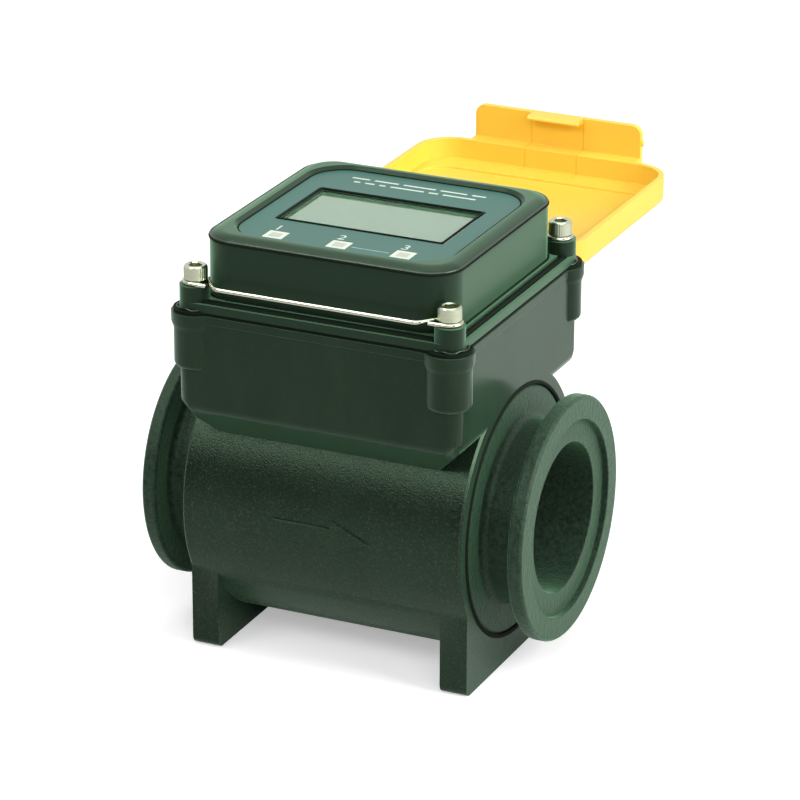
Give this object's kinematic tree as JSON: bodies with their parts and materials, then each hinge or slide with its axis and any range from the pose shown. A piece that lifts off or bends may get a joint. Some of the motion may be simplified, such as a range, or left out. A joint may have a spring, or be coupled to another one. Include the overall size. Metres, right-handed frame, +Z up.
{
  "type": "manifold flow meter",
  "caption": "Inline turbine flow meter with clamp flanges at both ends, foot plates, a square battery display housing and a hinged protective flip cover, shown open.",
  "frame": {"origin": "centre of the inlet flange's face, on the pipe axis", "axes": "+X along the flow from inlet to outlet, +Z up through the display, -Y the side with the latch wire and the flow arrow, +Y the side the cover opens to"},
  "size_m": [0.1378, 0.2056, 0.1482],
  "materials": {
    "body_plastic": "satin moulded, faintly mottled",
    "fitting_plastic": "satin moulded, glass filled",
    "seal_rubber": "matt",
    "white_plastic": "satin",
    "bearing_brass": "turned",
    "stainless": "bright drawn",
    "copper_wire": "enamelled",
    "cell_jacket": "shrink sleeve",
    "glossy_black": "gloss moulded",
    "label_film": "satin printed film",
    "clear_window": "clear",
    "lcd_face": "grey green, off",
    "touch_metal": "satin",
    "board_green": "solder mask",
    "cover_yellow": "satin moulded"
  },
  "bodies": {
    "meter": {"meter_body": "body_plastic", "inlet_flange": "fitting_plastic", "outlet_flange": "fitting_plastic", "inlet_seal": "seal_rubber", "outlet_seal": "seal_rubber", "inlet_oring": "seal_rubber", "outlet_oring": "seal_rubber", "housing_gasket": "seal_rubber", "inlet_support": "white_plastic", "outlet_support": "white_plastic", "inlet_bearing": "bearing_brass", "outlet_bearing": "bearing_brass", "coil_bobbin": "white_plastic", "coil_winding": "copper_wire", "battery_holder": "body_plastic", "battery_cells": "cell_jacket", "battery_contacts": "stainless", "threaded_inserts": "bearing_brass", "display_housing": "glossy_black", "display_bezel": "glossy_black", "label_panel": "label_film", "display_window": "clear_window", "lcd_module": "lcd_face", "touch_contacts": "touch_metal", "circuit_board": "board_green", "board_screws": "stainless", "housing_screws": "stainless", "latch_wire": "stainless", "hinge_wire": "stainless"},
    "rotor": {"rotor": "white_plastic", "rotor_shaft": "stainless", "rotor_magnets": "stainless", "thrust_washers": "stainless"},
    "cover": {"flip_cover": "cover_yellow"}
  },
  "joints": [
    {"name": "cover_hinge", "type": "hinge", "parent": "meter", "child": "cover", "pos_m": [0.0689, 0.0493, 0.0821], "axis": [1, 0, 0], "range_deg": [0, 180]},
    {"name": "rotor_spin", "type": "hinge", "parent": "meter", "child": "rotor", "pos_m": [0.0689, 0, 0], "axis": [1, 0, 0], "continuous": true}
  ]
}
